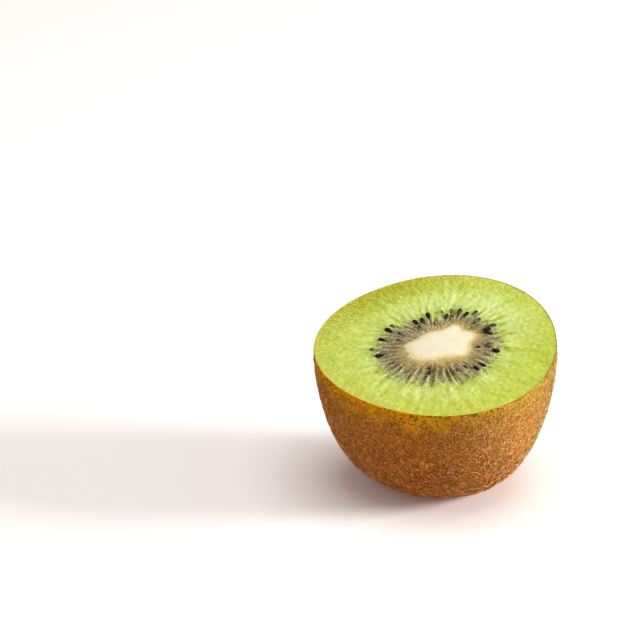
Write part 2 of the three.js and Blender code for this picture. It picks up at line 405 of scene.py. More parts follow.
class Tree:
    """A material's or a group's nodes, made and linked in one call each."""

    def __init__(self, tree):
        self.tree = tree

    def add(self, kind, settings=None, output=0, **inputs):
        """A new shader node of a kind, with its settings and its sockets wired. Gives one output."""
        node = self.tree.nodes.new("ShaderNode" + kind)
        for key, value in (settings or {}).items():
            setattr(node, key, value)
        return self.wire(node, **inputs).outputs[output]

    def wire(self, node, **inputs):
        """Links or sets sockets by their names, with _ for a space, or by their numbers, written as i0,
        i1 and so on. A string is a colour."""
        for key, value in inputs.items():
            socket = node.inputs[int(key[1:]) if key[1:].isdigit() else key.replace("_", " ")]
            if isinstance(value, bpy.types.NodeSocket):
                self.tree.links.new(value, socket)
            else:
                socket.default_value = linear(value) if isinstance(value, str) else value
        return node

    def maths(self, operation, first, second=0.0, third=0.0):
        return self.add("Math", {"operation": operation}, i0=first, i1=second, i2=third)

    def times(self, first, second):
        return self.maths("MULTIPLY", first, second)

    def mix(self, share, first, second, blend="MIX"):
        settings = {"data_type": "RGBA", "blend_type": blend, "clamp_factor": True}
        return self.add("Mix", settings, 2, i0=share, i6=first, i7=second)

    def two_tone(self, colour, value, share, pale, high, dark, low):
        """Paler where a value is high and darker where it is low, each by its ramp times a share."""
        colour = self.mix(self.times(self.ramp(value, *high), share), colour, pale)
        return self.mix(self.times(self.ramp(value, *low), share), colour, dark)

    def shade(self, colour, amount):
        """The colour times a number."""
        return self.add("VectorMath", {"operation": "SCALE"}, i0=colour, Scale=amount)

    def ramp(self, value, low, high, out_low=0.0, out_high=1.0):
        """A smooth S from one number, at low, to the other, at high."""
        settings = {"interpolation_type": "SMOOTHSTEP", "clamp": True}
        return self.add("MapRange", settings, i0=value, i1=low, i2=high, i3=out_low, i4=out_high)

    def stops(self, value, places):
        """A colour ramp through (place, colour) stops, the first at 0 and the last at 1."""
        ramp = self.add("ValToRGB", i0=value)
        elements = ramp.node.color_ramp.elements
        for at, _ in places[1:-1]:
            elements.new(at)
        for element, (_, colour) in zip(elements, places):
            element.color = linear(colour)
        return ramp

    def place(self):
        return self.add("TexCoord", None, "Object")

    def noise(self, size_mm, detail=3.0):
        """Fractal noise on the piece's own coordinates, with blobs of about a size in mm."""
        scale = 1 / (size_mm * MM)
        return self.add("TexNoise", Vector=self.place(), Scale=scale, Detail=detail, Roughness=0.55)

    def bump(self, strength, distance_mm, height):
        """A normal bent by a height from 0 to 1 that stands for a distance."""
        return self.add("Bump", Strength=strength, Distance=distance_mm * MM, Height=height)

    def value(self, name):
        return self.add("Attribute", {"attribute_name": name}, "Fac")


def new_group(name, inputs, output):
    """A shader node group. Each socket is a name and a kind, Float or Color. Returns the group, its Tree
    and what its inputs give."""
    group = bpy.data.node_groups.new(name, "ShaderNodeTree")
    for key, kind in inputs:
        group.interface.new_socket(key, in_out="INPUT", socket_type="NodeSocket" + kind)
    group.interface.new_socket(output[0], in_out="OUTPUT", socket_type="NodeSocket" + output[1])
    return group, Tree(group), group.nodes.new("NodeGroupInput").outputs


def new_material(name, **constants):
    """A material with a Principled BSDF whose plain sockets are set. Returns it, its Tree and shader."""
    material = bpy.data.materials.new(name)
    material.use_nodes = True
    tree = Tree(material.node_tree)
    shader = tree.wire(material.node_tree.nodes["Principled BSDF"], **constants)
    return material, tree, shader


SWAY_SIZE, SWAY = 1.7, 0.7  # mm: the noise that pushes the spokes about, and how far


def make_spokes_group():
    """Noise drawn out along the spokes: it reads the direction from the axis, times how many spokes
    there are, and the distance from the axis, times how fast it may change along a spoke. Every place
    is first pushed about a little by coarser noise, so that no spoke is quite straight."""
    inputs = [("Spokes", "Float"), ("Along", "Float"), ("Detail", "Float")]
    group, t, given = new_group("spokes", inputs, ("Value", "Float"))
    centre = t.add("Mapping", Vector=t.place(), Location=(-AXIS_X * MM, -AXIS_Y * MM, 0))
    sway = t.add("TexNoise", None, "Color", Vector=t.place(), Scale=1 / (SWAY_SIZE * MM), Detail=2.0)
    pushed = t.add("VectorMath", {"operation": "MULTIPLY_ADD"}, i0=sway, i1=(SWAY * MM,) * 3, i2=centre)
    x, y, _ = t.add("SeparateXYZ", i0=pushed).node.outputs
    flat = t.add("CombineXYZ", X=x, Y=y)
    away = t.add("VectorMath", {"operation": "LENGTH"}, "Value", i0=flat)
    way = t.add("VectorMath", {"operation": "NORMALIZE"}, i0=flat)
    x, y, _ = t.add("SeparateXYZ", i0=t.shade(way, given["Spokes"])).node.outputs
    vector = t.add("CombineXYZ", X=x, Y=y, Z=t.times(away, t.times(given["Along"], 1 / MM)))
    noise = t.add("TexNoise", Vector=vector, Scale=1.0, Detail=given["Detail"])
    t.wire(t.tree.nodes.new("NodeGroupOutput"), Value=noise)
    return group


def make_mottle_group():
    """Cloudy change between two colours: fractal noise on the piece's own coordinates, turned into a
    smooth S between its low and its high."""
    inputs = [("First", "Color"), ("Second", "Color")]
    inputs += [(key, "Float") for key in ("Size mm", "Low", "High", "Detail")]
    group, t, given = new_group("mottle", inputs, ("Color", "Color"))
    scale = t.maths("DIVIDE", 1 / MM, given["Size mm"])
    noise = t.add("TexNoise", Vector=t.place(), Scale=scale, Detail=given["Detail"])
    value = t.ramp(noise, given["Low"], given["High"])
    colour = t.mix(value, given["First"], given["Second"])
    t.wire(t.tree.nodes.new("NodeGroupOutput"), Color=colour)
    return group


SPOKES = make_spokes_group()
MOTTLE = make_mottle_group()


def spokes(t, count, along, detail=3.0):
    return t.add("Group", {"node_tree": SPOKES}, Spokes=count, Along=along, Detail=detail)


def mottle(t, first, second, size, low=0.35, high=0.65, detail=3.0):
    inputs = {"First": first, "Second": second, "Size mm": size, "Low": low, "High": high}
    return t.add("Group", {"node_tree": MOTTLE}, Detail=detail, **inputs)


# ---- flesh and core materials
FLESH_LIME = "C3CD4C"
FLESH_PALE = "D8E696"
FLESH_GREEN = "AEBE34"
FLESH_DEEP = "A4B624"
FLESH_MOSS = "98AA2C"
FLESH_RIM = "C8C650"
# Painted shade with an olive reflected tint, for the flesh at the back-left rim.
FLESH_PAINTED_SHADE = "A6A20E"
# Painted highlight colour for glints on wet grains.
FLESH_GLINT = "ECF2A4"
# The colour from the core's edge, at 0, to the seed cells' outer ends, at 1.
ZONE = (
    (0.0, "E2CE8E"), (0.12, "D2B86C"), (0.26, "B89E52"), (0.38, "9E884A"), (0.5, "96864A"),
    (0.64, "A0985C"), (0.78, "ACAE62"), (0.9, "BAC25C"), (1.0, "C5CF4C"),
)
FIBRE_PALE, FIBRE_DARK = "D8CCA8", "54421A"
CELL_OLIVE = "555424"
CELL_GREEN = "7C8C1E"
CELL_HOLLOW = "221E02"
CELL_MAUVE = "8E7462"
CELL_GLEAM = "ECECE4"
# Pale walls between the cells, and painted highlights on the lips round the seeds.
CELL_WALL_AND_GLINT = "D6D6B4"
# Stains of sunk seeds, and painted shade round the seeds that show.
SEED_STAIN_AND_SHADE = "3A2A16"
CORE_CREAM = "F0E3C5"
CORE_WARM = "EED9A4"
SEED_BLACK, SEED_BROWN, SEED_FILM_AND_REFLECTION = "1C1104", "3C2614", "8A7C60"
FLESH_IOR = 1.36


def open_flesh(t, out):
    """The flesh beyond the seed cells: lime with green and pale spokes, the pale ones stronger towards the
    back right as painted reflection, and a yellower rim, broad soft strokes that start at the cells, pale
    and dark by turns, faint clouds, short feathery flecks, a dull side, painted shade with an olive
    reflected tint on the back left, fine fibres and painted glints of wet grains."""
    colour = mottle(t, FLESH_LIME, FLESH_GREEN, 4.0, 0.45, 0.85)
    green = t.times(t.ramp(spokes(t, 11.0, 0.35, 2.0), 0.54, 0.72, 0.0, 0.8), t.value("fibre"))
    colour = t.mix(green, colour, FLESH_GREEN)
    streak = t.ramp(spokes(t, 8.0, 0.06), 0.36, 0.64, 0.5, 1.0)
    colour = t.mix(t.times(streak, t.value("pale")), colour, FLESH_PALE)
    colour = t.mix(t.ramp(out, 0.86, 1.0, 0.0, 0.7), colour, FLESH_RIM)
    stroke, share = spokes(t, 11.0, 0.08, 1.0), t.value("strokes")
    pale, dark = (0.55, 0.69, 0.0, 0.6), (0.53, 0.39)
    colour = t.two_tone(colour, stroke, share, FLESH_PALE, pale, FLESH_MOSS, dark)
    pale, dark = (0.5, 0.72, 0.0, 0.32), (0.48, 0.25, 0.0, 0.3)
    colour = t.two_tone(colour, t.noise(2.6, 2.0), 1.0, FLESH_PALE, pale, FLESH_DEEP, dark)
    fleck = t.maths("ADD", spokes(t, 26.0, 0.5, 2.0), t.maths("SUBTRACT", t.noise(1.2, 4.0), 0.5))
    share = t.times(t.value("fibre"), 0.38)
    colour = t.two_tone(colour, fleck, share, FLESH_PALE, (0.52, 0.8), FLESH_DEEP, (0.5, 0.25))
    colour = t.mix(t.value("dull"), colour, FLESH_GREEN)
    # Painted shade with an olive reflected tint at the back-left rim.
    colour = t.mix(t.value("painted_olive_shade"), colour, FLESH_PAINTED_SHADE)
    fine = spokes(t, 44.0, 0.9, 2.0)
    colour = t.mix(t.ramp(fine, 0.5, 0.7, 0.0, 0.16), colour, FLESH_PALE)
    colour = t.shade(colour, t.ramp(fine, 0.35, 0.65, 0.92, 1.07))
    # Painted highlights: pale glints where light would catch wet grains on the back-left rim.
    wet = t.times(t.ramp(t.noise(0.55, 3.0), 0.57, 0.66, 0.0, 0.75), t.value("wet"))
    return t.mix(wet, colour, FLESH_GLINT)


def seed_cells(t, colour, zone):
    """The seed cells over the open flesh: their zone's ramp of colours with mauve patches, fine pale and
    dark fibres, grain and grey gleams, olive leaves that turn green at their outer ends, the dark hollows
    in them, the sunk seeds' stains and painted shade round the seeds that show, and pale walls and
    painted glints on the lips round the seeds."""
    leaf, wall, seed_stain_and_shade, fibre = (t.value(name) for name in ("leaf", "wall", "seed_stain_and_shade", "fibre"))
    fine, broad = spokes(t, 34.0, 0.6, 3.0), spokes(t, 16.0, 0.3, 2.0)
    ground = t.stops(zone, ZONE)
    mauve = t.times(t.ramp(t.noise(1.6), 0.3, 0.55, 0.2, 1.0), t.ramp(zone, 0.0, 0.15))
    mauve = t.times(mauve, t.times(t.ramp(zone, 0.9, 0.5), t.value("mauve")))
    ground = t.mix(mauve, ground, CELL_MAUVE)
    pale, dark = (0.51, 0.61, 0.0, 0.55), (0.49, 0.39, 0.0, 0.7)
    ground = t.two_tone(ground, fine, fibre, FIBRE_PALE, pale, FIBRE_DARK, dark)
    ground = t.shade(ground, t.ramp(broad, 0.3, 0.7, 0.8, 1.16))
    grain = t.ramp(t.noise(0.45, 3.0), 0.35, 0.65, -0.4, 0.32)
    ground = t.shade(ground, t.maths("MULTIPLY_ADD", grain, t.ramp(zone, 0.1, 0.45, 0.3, 1.0), 1.0))
    gleam = t.ramp(t.noise(0.3, 2.0), 0.52, 0.7, 0.0, 0.24)
    gleam = t.times(gleam, t.ramp(zone, 0.1, 0.5, 0.1, 1.0))
    ground = t.mix(gleam, ground, CELL_GLEAM)
    ground = t.shade(ground, t.value("light"))
    colour = t.mix(t.ramp(zone, 1.08, 0.84), colour, ground)
    body = t.mix(t.ramp(zone, 0.6, 1.05), CELL_OLIVE, CELL_GREEN)
    leaf = t.times(leaf, t.ramp(t.noise(0.4), 0.38, 0.62, 1.0, 0.4))
    colour = t.mix(leaf, colour, body)
    hollow = t.times(t.value("hollow"), t.ramp(fine, 0.35, 0.65, 1.0, 0.6))
    colour = t.mix(hollow, colour, CELL_HOLLOW)
    # Sunk seeds' stains, and painted shade round the seeds that show.
    seed_stain_and_shade = t.times(seed_stain_and_shade, t.ramp(fine, 0.35, 0.65, 1.0, 0.45))
    colour = t.mix(seed_stain_and_shade, colour, SEED_STAIN_AND_SHADE)
    # Painted highlights: pale glints on the lips round the seeds, where light would catch them; the walls'
    # paleness is their own.
    glint = t.times(t.value("lip"), t.ramp(t.noise(0.6), 0.45, 0.6, 0.1, 0.7))
    patchy = t.ramp(t.noise(0.6), 0.38, 0.62, 0.15, 0.8)
    pale = t.times(t.maths("MAXIMUM", wall, glint), patchy)
    return t.mix(pale, colour, CELL_WALL_AND_GLINT)


def flesh_colours(t):
    """The cut's colour from the core outwards, for the flesh and the core alike.

    edge is the distance beyond the core's edge in mm, below 0 inside it, out the share of the way
    from there to the rim, and zone the share of the way to the seed cells' ends."""
    edge, out, zone = (t.value(name) for name in ("edge", "out", "zone"))
    feather = t.times(t.maths("SUBTRACT", spokes(t, 16.0, 0.15, 3.0), 0.5), 0.6)
    ragged = t.maths("ADD", zone, t.times(feather, t.ramp(zone, 0.1, 0.8)))
    colour = seed_cells(t, open_flesh(t, out), ragged)
    cream = t.mix(t.ramp(edge, -1.9, 0.2), CORE_CREAM, CORE_WARM)
    cream = t.shade(cream, t.ramp(t.noise(1.8), 0.3, 0.7, 0.97, 1.03))
    soft = t.maths("ADD", edge, t.times(feather, 1.6))
    fade = t.ramp(soft, t.value("melt"), -0.5)
    return t.mix(fade, colour, cream)


def flesh_bump(t, strength):
    """Fine lumps and fibres."""
    return t.bump(strength, 0.12, t.maths("MULTIPLY_ADD", spokes(t, 30.0, 0.2, 2.0), 0.8, t.noise(0.6)))


def make_flesh():
    """Wet translucent flesh: its colour by zone, with a juice film that is broken by the grains."""
    constants = {"Subsurface_Weight": 0.25, "Subsurface_Scale": 0.8 * MM, "Coat_Roughness": 0.2}
    constants |= {"Subsurface_Radius": (1.0, 0.9, 0.35), "IOR": FLESH_IOR, "Specular_IOR_Level": 0.12}
    material, t, shader = new_material("wet flesh", **constants)
    roughness = t.ramp(t.noise(2.0), 0.35, 0.65, 0.4, 0.6)
    juice = t.ramp(t.noise(1.1), 0.5, 0.7, 0.0, 0.18)
    t.wire(shader, Base_Color=flesh_colours(t), Roughness=roughness, Coat_Weight=juice)
    t.wire(shader, Normal=flesh_bump(t, 0.25))
    return material


def make_core():
    """The soft, almost dry core."""
    constants = {"Subsurface_Weight": 0.4, "Subsurface_Scale": 1.5 * MM, "IOR": FLESH_IOR}
    material, t, shader = new_material("core pith", Subsurface_Radius=(1.0, 0.9, 0.6), **constants)
    roughness = t.ramp(t.noise(2.0), 0.35, 0.65, 0.5, 0.65)
    t.wire(shader, Base_Color=flesh_colours(t), Roughness=roughness, Normal=flesh_bump(t, 0.2))
    return material


def make_seed():
    """Black-brown, glossy, faintly ridged seed coat, paler and greyer under a film of flesh, which on each
    seed's -Y side is partly painted reflection.
    """
    constants = {"IOR": 1.4, "Specular_IOR_Level": 0.06, "Coat_Roughness": 0.12}
    material, t, shader = new_material("seed coat", **constants)
    dark = mottle(t, SEED_BLACK, SEED_BROWN, 0.6, 0.4, 0.75)
    roughness = t.ramp(t.noise(0.7), 0.3, 0.7, 0.4, 0.6)
    gloss = t.ramp(t.noise(0.9), 0.52, 0.66, 0.0, 0.14)
    t.wire(shader, Base_Color=t.mix(t.value("tone"), dark, SEED_FILM_AND_REFLECTION), Roughness=roughness)
    t.wire(shader, Coat_Weight=gloss, Normal=t.bump(0.4, 0.06, t.noise(0.2, 2.0)))
    return material


# ---- skin and hair materials
SKIN_BROWN = "AE681A"
SKIN_DEEP = "8E4C0A"
# Painted light: paler, yellower copies of the skin, band and speck colours for the +X side, which faces
# the key lamp.
SKIN_PAINTED_LIT = "B07A3E"
SKIN_GOLD = "DC8804"
SKIN_OLIVE = "CC9004"
GOLD_PAINTED_LIT = "9C8638"
SKIN_SPECK = "5C2E04"
SPECK_PAINTED_LIT = "7C3E0C"
# Redder towards the foot, and darker there as painted shade.
FOOT_TINT_AND_SHADE = (0.92, 0.7, 0.66, 1)
PEEL_EDGE = "C6BC48"
SCAR_WOOD = "9C6F42"
SCAR_DARK = "4B2A1A"
# Painted light: a paler, yellower hair colour for the +X side, which faces the key lamp.
HAIR_PAINTED_LIT = "BCA86C"
SPECKS_A_METRE = 1700.0
HAIRS_EACH = 12000
# Each kind of hair: its colours at the root and the tip, its shine, the seed of its draws, how thickly it
# stands right below the rim, and the least and greatest length and half thickness, in mm, and lift.
HAIRS = {
    "pale": ("B86C28", "F8B474", 0.06, 31, 0.2, (0.6, 1.45), (0.035, 0.058), (0.1, 0.4)),
    "tawny": ("A65E1A", "DE9248", 0.04, 41, 0.4, (0.55, 1.25), (0.032, 0.055), (0.08, 0.35)),
    "brown": ("6C380E", "8E5018", 0.02, 51, 0.7, (0.45, 1.1), (0.036, 0.06), (0.08, 0.3)),
    "down": ("8E4E12", "CE8438", 0.03, 61, 0.8, (0.3, 0.7), (0.032, 0.054), (0.12, 0.4)),
}


def painted_side_shade(t, colour):
    """Painted shade: a little darker in the middle of the +X side, where the painted light value runs past
    1.
    """
    return t.shade(colour, t.ramp(t.value("painted_lit"), 1.0, 1.6, 1.0, 0.9))


def foot_tint_and_shade(t, colour):
    """Redder towards the foot, and darker there as painted shade, in broad patches."""
    height = t.add("SeparateXYZ", None, "Z", i0=t.place())
    ragged = t.maths("MULTIPLY_ADD", t.maths("SUBTRACT", t.noise(7.0, 2.0), 0.5), 20 * MM, height)
    return t.mix(t.ramp(ragged, 19 * MM, 1 * MM), colour, FOOT_TINT_AND_SHADE, "MULTIPLY")


def make_skin():
    """Brown peel: cloudy brown; golden in a band below the rim, a painted glow of light through the thin
    flesh at the cut; paler and yellower on the +X side as painted light from the key lamp, a little darker
    in that side's middle as painted shade; redder towards the foot and darker there as painted shade; with
    dark specks where hairs stood, a woody scar and a yellow cut edge."""
    sheen = {"Sheen_Weight": 0.12, "Sheen_Roughness": 0.5, "Sheen_Tint": (1.0, 0.8, 0.12, 1)}
    material, t, shader = new_material("hairy peel", Specular_IOR_Level=0.01, **sheen)
    band, cut, scar = (t.value(name) for name in ("band", "cut", "scar"))
    brown = mottle(t, SKIN_BROWN, SKIN_DEEP, 0.35, 0.4, 0.6, 2.0)
    # The band's gold is painted glow: light shining through the thin flesh at the cut.
    gold = mottle(t, SKIN_GOLD, SKIN_OLIVE, 4.0, 0.4, 0.6, 2.0)
    gold = t.mix(t.ramp(t.noise(0.7, 4.0), 0.5, 0.75, 0.0, 0.6), gold, SKIN_BROWN)
    # Painted light: paler and yellower towards the +X side, which faces the key lamp.
    brown = t.mix(t.times(t.value("painted_lit"), 0.55), brown, SKIN_PAINTED_LIT)
    gold = t.mix(t.times(t.value("painted_lit"), 0.75), gold, GOLD_PAINTED_LIT)
    colour = t.shade(t.mix(band, brown, gold), t.ramp(t.noise(0.22, 2.0), 0.35, 0.65, 0.55, 1.34))
    # Painted shade in the middle of the +X side, and painted shade towards the foot.
    colour = foot_tint_and_shade(t, painted_side_shade(t, colour))
    dots = t.add("TexVoronoi", {"feature": "F1"}, "Distance", Vector=t.place(), Scale=SPECKS_A_METRE)
    size = t.ramp(t.noise(1.3), 0.35, 0.6, 0.1, 0.38)
    patchy = t.ramp(t.noise(4.0), 0.4, 0.6, 0.0, 0.2)
    size = t.maths("ADD", size, t.times(t.value("brink"), patchy))
    # Specks a little larger on the +X side; their paler, redder colour there is painted light.
    size = t.maths("MULTIPLY_ADD", t.value("painted_lit"), 0.08, size)
    speck = t.ramp(t.maths("SUBTRACT", dots, size), 0.08, -0.08)
    dark = t.mix(t.value("painted_lit"), SKIN_SPECK, SPECK_PAINTED_LIT)
    colour = t.mix(t.times(speck, 0.8), colour, dark)
    wood = mottle(t, SCAR_WOOD, SCAR_DARK, 0.8, 0.35, 0.65, 4.0)
    colour = t.mix(scar, colour, wood)
    edge = mottle(t, PEEL_EDGE, SKIN_GOLD, 0.7, 0.55, 0.75)
    colour = t.mix(cut, colour, edge)
    roughness = t.ramp(t.noise(1.4), 0.3, 0.7, 0.65, 0.85)
    bump = t.bump(0.6, 0.15, t.maths("MULTIPLY_ADD", speck, 0.6, t.noise(0.55, 4.0)))
    t.wire(shader, Base_Color=colour, Roughness=roughness, Normal=bump)
    return material


def make_hair(name, root, tip, shine):
    """A hair's colour from root to tip, each hair lighter or darker than the next, paler on the +X side as
    painted light from the key lamp and a little darker in that side's middle as painted shade, and redder
    towards the foot and darker there as painted shade."""
    sheen = {"Sheen_Weight": 0.25, "Sheen_Roughness": 0.5, "Sheen_Tint": (1.0, 0.82, 0.2, 1)}
    material, t, shader = new_material(name, Specular_IOR_Level=shine, **sheen)
    along, tone = t.value("along"), t.value("tone")
    colour = t.mix(t.ramp(along, 0.0, 0.6), root, tip)
    # Painted light: paler towards the +X side, which faces the key lamp.
    colour = t.mix(t.times(t.value("painted_lit"), 0.4), colour, HAIR_PAINTED_LIT)
    colour = t.shade(colour, t.maths("MULTIPLY_ADD", tone, 1.0, 0.55))
    # Painted shade in the middle of the +X side, and painted shade towards the foot.
    colour = foot_tint_and_shade(t, painted_side_shade(t, colour))
    t.wire(shader, Base_Color=colour, Roughness=t.ramp(t.noise(1.1), 0.3, 0.7, 0.42, 0.58))
    return material


FLESH, PITH = make_flesh(), make_core()
SEED_COAT, PEEL_SKIN = make_seed(), make_skin()


# ---- flesh and core
def face_values(points):
    """The numbers that the flesh's colours read, at points (rings, columns, 3) of the cut: the masks, the
    distances, and how much each side of the cut has of a look. Each of those is a bell over the angle,
    mostly times a bell or a smooth step over the distance from the axis."""
    radius = np.hypot(points[..., 0], points[..., 1])
    angle = np.arctan2(points[..., 1], points[..., 0])
    values = cell_pattern(angle, radius)
    edge = core_edge(angle)
    rim = rim_radius(angle) - PEEL
    seed_stain_and_shade, lip = seed_marks(angle, radius)
    crisp, right = sector(angle, 110, 50), sector(angle, 25, 55)
    # The pale streaks are the flesh's own; their extra strength towards the back right is painted
    # reflection of gloss.
    broad = bell(radius, 18.2 - 3.2 * crisp, 4.0) * (0.22 + 0.82 * sector(angle, 62, 58))
    values |= {
        "seed_stain_and_shade": seed_stain_and_shade,
        "lip": lip,
        "edge": radius - edge,
        "out": np.clip((radius - edge) / (rim - edge), 0, 1),
        "fibre": 0.25 + 0.65 * sector(angle, 125, 75),
        "strokes": (0.5 + 0.42 * right) * bell(values["zone"], 1.12, 0.3 + 0.12 * right),
        # Where painted highlights of wet grains lie: near the rim on the back left.
        "wet": smooth_step(16, 24, radius) * sector(angle, 150, 46),
        "melt": 0.9 - 0.75 * crisp,
        "pale": np.minimum(broad + 0.35 * bell(values["zone"], 1.15, 0.2), 1),
        "dull": 0.5 * smooth_step(13, 22, radius) * sector(angle, -12, 36),
        # Painted shade with an olive reflected tint, at the back-left rim.
        "painted_olive_shade": 0.92 * smooth_step(15, 24, radius) * sector(angle, 122, 38),
        "mauve": 0.2 + 0.6 * sector(angle, 165, 55) + 0.35 * sector(angle, -10, 32),
        "light": 1 + 0.26 * sector(angle, 95, 22) + 0.1 * sector(angle, 8, 30),
    }
    values["leaf"] *= 1 - 0.45 * crisp
    reach = 1 + 0.12 * sector(angle, -62, 22) + 0.05 * sector(angle, 172, 25)
    reach += 0.05 * sector(angle, -15, 20) - 0.08 * sector(angle, 112, 40) - 0.1 * sector(angle, 97, 20)
    zone = values["zone"] / reach
    values["zone"] = zone + 0.25 * crisp * smooth_step(0, 0.05, zone) * (1 - zone)
    return values


def make_cut_flesh():
    """The flesh as one closed solid: from the foot of the core's socket up its wall, out over the cut
    to the peel, down inside the peel and in to the axis below."""
    angle = AROUND
    edge, rim = core_edge(angle), rim_radius(angle) - PEEL
    deep = np.sin(np.linspace(1, 0.06, 7) * math.pi / 2)[:, None]
    wall_radius, wall_height = core_wall(angle, deep, 0)
    socket = stack_at(angle, wall_radius, wall_height + face_relief(angle, edge) * (1 - deep))

    share = np.linspace(0, 1, FACE_RINGS)[:, None] ** 0.96
    share = np.insert(share, [1, -1], [[TIGHT], [1 - TIGHT]], axis=0)
    radius = edge + (rim - edge) * share
    lift = face_relief(angle, radius) * (1 - 0.6 * share**30)
    top = stack_at(angle, radius, cut_over(angle, radius) + lift)

    below = np.linspace(0.985, 0.1, 9)[:, None]
    side_height = (top[-1, :, 2] - 0.05) * below
    side = stack_at(angle, skin_radius(angle, side_height) - PEEL - 0.06, side_height)
    floor = stack_at(angle, np.array([[7.0], [1.0]]), np.array([[2.2], [2.0]]))

    points = np.concatenate([socket, top, side, floor])
    values = face_values(points)
    values["out"][len(socket) + len(top) :] = 1.0
    solid, faces = closed_stack(points)
    return new_piece("cut_flesh", solid, faces, FLESH, "flesh", with_ends(values))


def make_pith():
    """The core: its crowned top meets the flesh's inner ring point for point, and it narrows below."""
    angle = AROUND
    edge = core_edge(angle)
    radius = edge * np.append(np.linspace(0.02, 1 - TIGHT, 46), 1.0)[:, None]
    top = stack_at(angle, radius, cut_over(angle, radius) + face_relief(angle, radius))
    deep = np.sin(np.linspace(0.06, 1, 8)[:-1] * math.pi / 2)[:, None]
    points = np.concatenate([top, stack_at(angle, *core_wall(angle, deep, 0.02))])
    solid, faces = closed_stack(points)
    return new_piece("pith", solid, faces, PITH, "core", with_ends(face_values(points)))


# ---- seeds
def seed_form():
    """One seed along X as a closed stack of rings: an ellipsoid whose girth shrinks towards -X."""
    rings, around = 13, 18
    u = np.linspace(0.04, 0.96, rings)[:, None] * math.pi
    v = np.linspace(0, TURN, around, endpoint=False)[None, :]
    along = -np.cos(u) + 0 * v
    girth = np.sin(u) ** 0.9 * (1 - SEED_TAPER * (1 - along) / 2)
    shape = [along * SEED_LENGTH, girth * np.cos(v) * SEED_WIDTH, girth * np.sin(v) * SEED_THICK]
    return closed_stack(np.stack(shape, -1) / 2)


def make_seeds():
    """The seeds, half sunk in the cut: each is the one form scaled, turned, laid along the cut's slope
    and lifted to stand proud. A film lies thickest over a seed's -Y side, where its grey is partly painted
    reflection."""
    draw = np.random.default_rng(11)
    form, form_faces = seed_form()
    all_points, all_tones = [], []
    for at, distance, size, width, turn, film in SEEDS:
        angle = math.radians(at)
        swing = angle + math.radians(turn)
        cos, sin = math.cos(swing), math.sin(swing)
        points = form * [size, size * width, 1] @ np.array([[cos, sin, 0], [-sin, cos, 0], [0, 0, 1]])
        # Film over the seed, thickest on its -Y side: partly flesh over the seed, partly painted
        # reflection.
        tone = film * (0.1 + 1.2 * smooth_step(0.15, -0.5, points[:, 1] / size))
        points[:, 2] += CUT_DIP * points[:, 1] + CUT_LEAN * points[:, 0]
        x, y = distance * math.cos(angle), distance * math.sin(angle)
        sink = draw.uniform(-0.05, 0.03) + 0.15 * (1 - size)
        points += [x, y, cut_at(x, y) + SEED_PROUD - SEED_THICK / 2 - sink]
        all_points.append(points)
        all_tones.append(tone)
    offsets = (np.arange(len(SEEDS)) * len(form))[:, None, None]
    faces = [(group[None] + offsets).reshape(-1, group.shape[1]) for group in form_faces]
    values = {"tone": np.concatenate(all_tones)}
    return new_piece("seeds", np.concatenate(all_points), faces, SEED_COAT, "flesh", values)


# ---- peel
def painted_lit_side(angle):
    """How much painted light the skin gets: most on the +X side, which faces the key lamp, and more again
    in the middle of that side.
    """
    return smooth_step(-0.25, 0.75, np.cos(angle)) + 0.6 * smooth_step(0.72, 1, np.cos(angle))


def skin_place(angle, share):
    """A point of the skin at an angle and a share of the way up from the flat spot to the rim."""
    height = rim_height(angle) * share**1.7
    return skin_radius(angle, height), height


def scar_profile():
    """The underside from the pit in the middle of the stalk scar out to the flat spot's edge: straight
    lines between stops, each a distance from the axis and a height."""
    stops = (
        (0, SCAR_PIT_DEPTH), (SCAR_PIT, SCAR_PIT_DEPTH * 0.8), (SCAR_PIT * 1.4, SCAR_DISC_DEPTH),
        (SCAR_DISC, SCAR_DISC_DEPTH), (SCAR_STEP, SCAR_GROOVE), (SCAR_OUTER, 0.06), (FLAT_OUTER, 0.03),
    )
    radius = np.linspace(0.3, FLAT_OUTER, 26)
    return radius, np.interp(radius, *zip(*stops))


